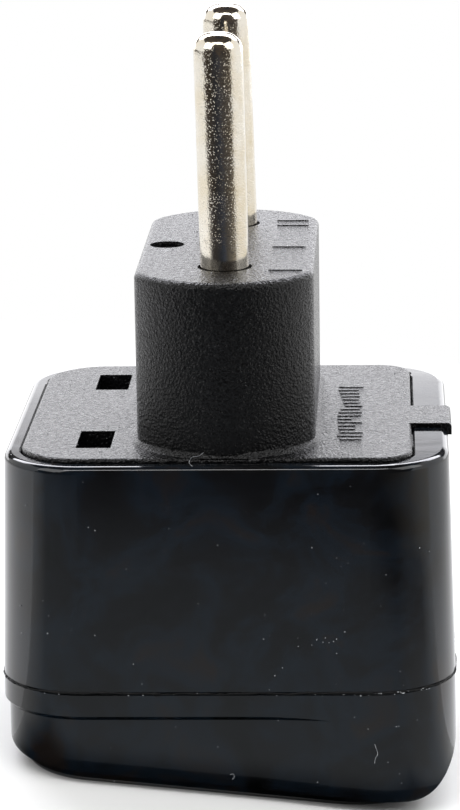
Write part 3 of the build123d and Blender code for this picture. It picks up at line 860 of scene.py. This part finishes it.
def make_floor(colours):
    """Pale round floor under the socket face: a disc of rings whose radius grows by a constant ratio."""
    rows, columns = 15, 96
    radius = (FLOOR_FIRST * FLOOR_GROWTH ** np.arange(rows))[:, None]
    angle = np.linspace(0, TAU, columns, endpoint=False)[None, :]
    x, y = radius * np.cos(angle), radius * np.sin(angle)
    points = np.stack([x, y, floor_height(x) - FLOOR_GAP], -1).reshape(-1, 3)
    points = np.concatenate([points, [(0, 0, floor_height(0) - FLOOR_GAP)]])
    ring = np.arange(columns)
    middle = np.stack([ring, np.roll(ring, -1), np.full(columns, rows * columns)], -1).tolist()
    faces = [face[::-1] for face in grid_faces(rows, columns)] + middle
    material, tree, shader, place = new_material(
        "matt_paper_floor", {"Roughness": 0.9, "Specular IOR Level": 0.0}
    )
    fleck = add(tree, "ShaderNodeTexNoise", {"Scale": 1 / (60 * MM)}, {"Vector": place})
    paper = add(tree, "ShaderNodeValToRGB", links={0: fleck.outputs[0]}, stops=[
        (0.3, linear("#f4f4f3")), (0.7, tuple(colours.floor)),
    ])
    tree.links.new(paper.outputs[0], shader.inputs["Base Color"])
    # far from the object the camera, metal and gloss see plain white
    reach = add(tree, "ShaderNodeVectorMath", links={0: place}, operation="LENGTH")
    fade = add(
        tree, "ShaderNodeMapRange", {"From Min": FLOOR_FADE[0] * MM, "From Max": FLOOR_FADE[1] * MM},
        {"Value": reach.outputs["Value"]},
    )
    share = add(tree, "ShaderNodeMath", links={0: seen_share(tree), 1: fade.outputs[0]}, operation="MULTIPLY")
    glow = add(tree, "ShaderNodeEmission", {"Color": (1, 1, 1, 1), "Strength": 1.0})
    blend = add(
        tree, "ShaderNodeMixShader", links={0: share.outputs[0], 1: shader.outputs[0], 2: glow.outputs[0]}
    )
    tree.links.new(blend.outputs[0], tree.nodes["Material Output"].inputs["Surface"])
    make_mesh("floor", points, faces, material)


def make_flag(name, points, faces, glow):
    """Sheet of painted reflection that only reflections see; its glow is a function that ends in a colour
    socket.
    """
    material, tree, shader, place = new_material(f"{name}_painted_reflection")
    # the emission paints a reflection: the sheet glows though it is no lamp
    light = add(tree, "ShaderNodeEmission", {"Strength": 1.0}, {"Color": glow(tree, place)})
    tree.links.new(light.outputs[0], tree.nodes["Material Output"].inputs["Surface"])
    material.cycles.emission_sampling = "NONE"
    flag = make_mesh(name, points, faces, material)
    flag.visible_camera = False
    flag.visible_diffuse = False
    flag.visible_shadow = False


def table_glow(tree, place):
    """Painted reflection of the table before the object: the body's painted shade, then grey, then dark that
    grows paler to the right.
    """
    reach = add(tree, "ShaderNodeVectorMath", links={0: place}, operation="LENGTH")
    share = add(
        tree, "ShaderNodeMapRange", {"From Min": TONE_REACH[0] * MM, "From Max": TONE_REACH[1] * MM},
        {"Value": reach.outputs["Value"]},
    )
    distance = add(tree, "ShaderNodeValToRGB", links={0: share.outputs[0]}, stops=[
        (0.0, linear("#c3c8cd")), (0.18, linear("#b4b9bd")), (0.41, linear("#989ca1")),
        (0.545, linear("#57565a")), (0.62, linear("#38373a")), (1.0, linear("#2c2a2b")),
    ])
    parts = add(tree, "ShaderNodeSeparateXYZ", links={0: place})
    forward = add(tree, "ShaderNodeMath", {1: -1.0}, {0: parts.outputs[1]}, operation="MULTIPLY")
    angle = add(
        tree, "ShaderNodeMath", links={0: parts.outputs[0], 1: forward.outputs[0]}, operation="ARCTAN2"
    )
    turn = add(
        tree, "ShaderNodeMapRange", {"From Min": FLAG_LEFT, "From Max": FLAG_RIGHT},
        {"Value": angle.outputs[0]},
    )
    # painted white comes in from both sides
    sides = add(tree, "ShaderNodeValToRGB", links={0: turn.outputs[0]}, stops=[
        (0.0, (1, 1, 1, 1)), (0.11, (0, 0, 0, 1)), (0.66, (0, 0, 0, 1)), (0.76, (0.18, 0.18, 0.18, 1)),
        (0.88, (0.24, 0.24, 0.24, 1)), (1.0, (1, 1, 1, 1)),
    ])
    lit = add(
        tree, "ShaderNodeMix", {7: (1, 1, 1, 1)}, {0: sides.outputs[0], 6: distance.outputs[0]},
        data_type="RGBA",
    )
    # the square body's painted shade fades out over the first 10 mm of the table
    across = add(tree, "ShaderNodeMath", links={0: parts.outputs[0]}, operation="ABSOLUTE")
    square = add(
        tree, "ShaderNodeMath", links={0: across.outputs[0], 1: forward.outputs[0]}, operation="MAXIMUM"
    )
    clear = add(
        tree, "ShaderNodeMapRange", {"From Min": SHADE_REACH[0] * MM, "From Max": SHADE_REACH[1] * MM},
        {"Value": square.outputs[0]}, interpolation_type="SMOOTHSTEP",
    )
    open_share = add(
        tree, "ShaderNodeMath", links={0: clear.outputs[0], 1: sides.outputs[0]}, operation="MAXIMUM"
    )
    # painted shade: near the body the glow is mixed down to near black
    near = add(
        tree, "ShaderNodeMix", {6: linear("#0a0a0b")}, {0: open_share.outputs[0], 7: lit.outputs[2]},
        data_type="RGBA",
    )
    # painted reflection that the pins mirror, by angle from left to right
    far = add(tree, "ShaderNodeValToRGB", links={0: turn.outputs[0]}, stops=[
        (0.0, linear("#453c36")), (0.2, linear("#33302e")), (0.37, linear("#2b2f38")),
        (0.47, linear("#3a404c")), (0.56, linear("#4c4946")), (0.69, linear("#6f6a63")),
        (0.8, linear("#9d968b")), (0.9, linear("#d3ccbf")), (1.0, linear("#ece6d8")),
    ])
    step = add(
        tree, "ShaderNodeMapRange", {"From Min": FAR_STEP[0] * MM, "From Max": FAR_STEP[1] * MM},
        {"Value": reach.outputs["Value"]},
    )
    return add(
        tree, "ShaderNodeMix", links={0: step.outputs[0], 6: near.outputs[2], 7: far.outputs[0]},
        data_type="RGBA",
    ).outputs[2]


def room_glow(tree, place):
    """Painted reflection of an unlit room round the table: glowing patches of brown and of blue grey."""
    patch = add(tree, "ShaderNodeTexNoise", {"Scale": 1 / (300 * MM), "Detail": 3.0}, {"Vector": place})
    return add(tree, "ShaderNodeValToRGB", links={0: patch.outputs[0]}, stops=[
        (0.35, linear("#2a2f38")), (0.5, linear("#46403c")), (0.65, linear("#4d4744")),
    ]).outputs[0]


def ramp(angle, edge, width):
    """Nought below an edge and one above it, with a straight rise over a width of angle."""
    return np.clip((angle - edge) / width + 0.5, 0, 1)


def make_flags():
    """Sheets of painted reflection: a sector of dark table before the object and beyond the white at its
    sides, and a dark dome over it.

    The table is a polar grid of radius and angle, whose inner edge steps out at the sides. The dome is a
    grid of angle and elevation, whose lower edge steps up at the sides, and less far behind the object.
    """
    rows, columns = 24, 160
    angle = np.linspace(-FLAG_SIDE, FLAG_SIDE, columns)[None, :]
    inside = ramp(angle, FLAG_LEFT, 0.03) * ramp(-angle, -FLAG_RIGHT, 0.03)
    inner = FLAG_EDGE + (FLAG_NEAR - FLAG_EDGE) * inside
    radius = inner + (FLAG_REACH - inner) * np.linspace(0, 1, rows)[:, None]
    x, y = radius * np.sin(angle), -radius * np.cos(angle)
    i, j = np.meshgrid(np.arange(rows - 1), np.arange(columns - 1), indexing="ij")
    corner = i * columns + j
    quads = np.stack([corner, corner + columns, corner + columns + 1, corner + 1], -1)
    points = np.stack([x, y, floor_height(x) + FLAG_LIFT], -1)
    make_flag("table_flag", points, quads.reshape(-1, 4).tolist(), table_glow)
    rows, columns = 24, 120
    angle = np.linspace(-pi, pi, columns, endpoint=False)[None, :]
    ahead = ramp(-np.abs(angle), -TENT_OPEN, 0.2)
    behind = ramp(np.abs(angle), FLAG_SIDE, 0.06)
    low = TENT_HIGH + (TENT_FRONT_LOW - TENT_HIGH) * ahead + (TENT_LOW - TENT_HIGH) * behind
    rise = low + (TENT_TOP - low) * np.linspace(0, 1, rows)[:, None]
    x = TENT_RADIUS * np.cos(rise) * np.sin(angle)
    y = -TENT_RADIUS * np.cos(rise) * np.cos(angle)
    z = AIM[2] + TENT_RADIUS * np.sin(rise)
    points = np.concatenate([np.stack([x, y, z], -1).reshape(-1, 3), [(0, 0, AIM[2] + TENT_RADIUS)]])
    ring = np.arange(columns) + (rows - 1) * columns
    crown = np.stack([ring, np.roll(ring, -1), np.full(columns, rows * columns)], -1).tolist()
    make_flag("room_flag", points, grid_faces(rows, columns) + crown, room_glow)


def make_world():
    """Even white surroundings: strength 1 where they are seen, less where they light."""
    world = bpy.data.worlds.new("studio")
    world.use_nodes = True
    tree = world.node_tree
    tree.nodes.clear()
    strength = add(
        tree, "ShaderNodeMapRange", {"To Min": LIT_STRENGTH, "To Max": 1.0}, {"Value": seen_share(tree)}
    )
    light = add(tree, "ShaderNodeBackground", {"Color": (1, 1, 1, 1)}, {"Strength": strength.outputs[0]})
    add(tree, "ShaderNodeOutputWorld", links={"Surface": light.outputs[0]})
    bpy.context.scene.world = world


class ADAPTER_OT_stage(bpy.types.Operator):
    """Makes the floor, the lights and the camera"""

    bl_idname = "adapter.stage"
    bl_label = "Set the stage"

    def execute(self, context):
        make_world()
        make_floor(context.scene.adapter_colours)
        make_flags()
        for name, settings in SOFTBOXES.items():
            softbox(name, *settings)
        camera = bpy.data.cameras.new("camera")
        camera.sensor_width = SENSOR
        camera.lens = FOCAL_PIXELS / PHOTO_HEIGHT * SENSOR
        camera.clip_start, camera.clip_end = 0.01, 10.0
        holder = bpy.data.objects.new("camera", camera)
        axes = Matrix(CAMERA_AXES).to_4x4()
        holder.matrix_world = Matrix.Translation(Vector(CAMERA_PLACE) * MM) @ axes
        context.scene.collection.objects.link(holder)
        context.scene.camera = holder
        context.scene.view_settings.view_transform = "Standard"
        return {"FINISHED"}


class ADAPTER_PT_panel(bpy.types.Panel):
    """Lists the adapter's sizes, colours and pieces"""

    bl_idname = "ADAPTER_PT_panel"
    bl_label = "Travel adapter"
    bl_space_type = "VIEW_3D"
    bl_region_type = "UI"
    bl_category = "Adapter"

    def draw(self, context):
        for group in (context.scene.adapter_sizes, context.scene.adapter_colours):
            for name in group.bl_rna.properties.keys():
                if name not in ("rna_type", "name"):
                    self.layout.prop(group, name)
        for operator in OPERATORS:
            self.layout.operator(operator.bl_idname)


OPERATORS = (
    ADAPTER_OT_stage, ADAPTER_OT_finishes, ADAPTER_OT_pins, ADAPTER_OT_strokes, ADAPTER_OT_weld,
    ADAPTER_OT_lint,
)
CLASSES = (AdapterSizes, AdapterColours) + OPERATORS + (ADAPTER_PT_panel,)


def register():
    for entry in CLASSES:
        bpy.utils.register_class(entry)
    bpy.types.Scene.adapter_sizes = PointerProperty(type=AdapterSizes)
    bpy.types.Scene.adapter_colours = PointerProperty(type=AdapterColours)


def unregister():
    del bpy.types.Scene.adapter_colours
    del bpy.types.Scene.adapter_sizes
    for entry in reversed(CLASSES):
        bpy.utils.unregister_class(entry)


def main():
    """Runs the operators in order."""
    register()
    for operator in OPERATORS:
        group, action = operator.bl_idname.split(".")
        getattr(getattr(bpy.ops, group), action)()


if __name__ == "__main__":
    main()
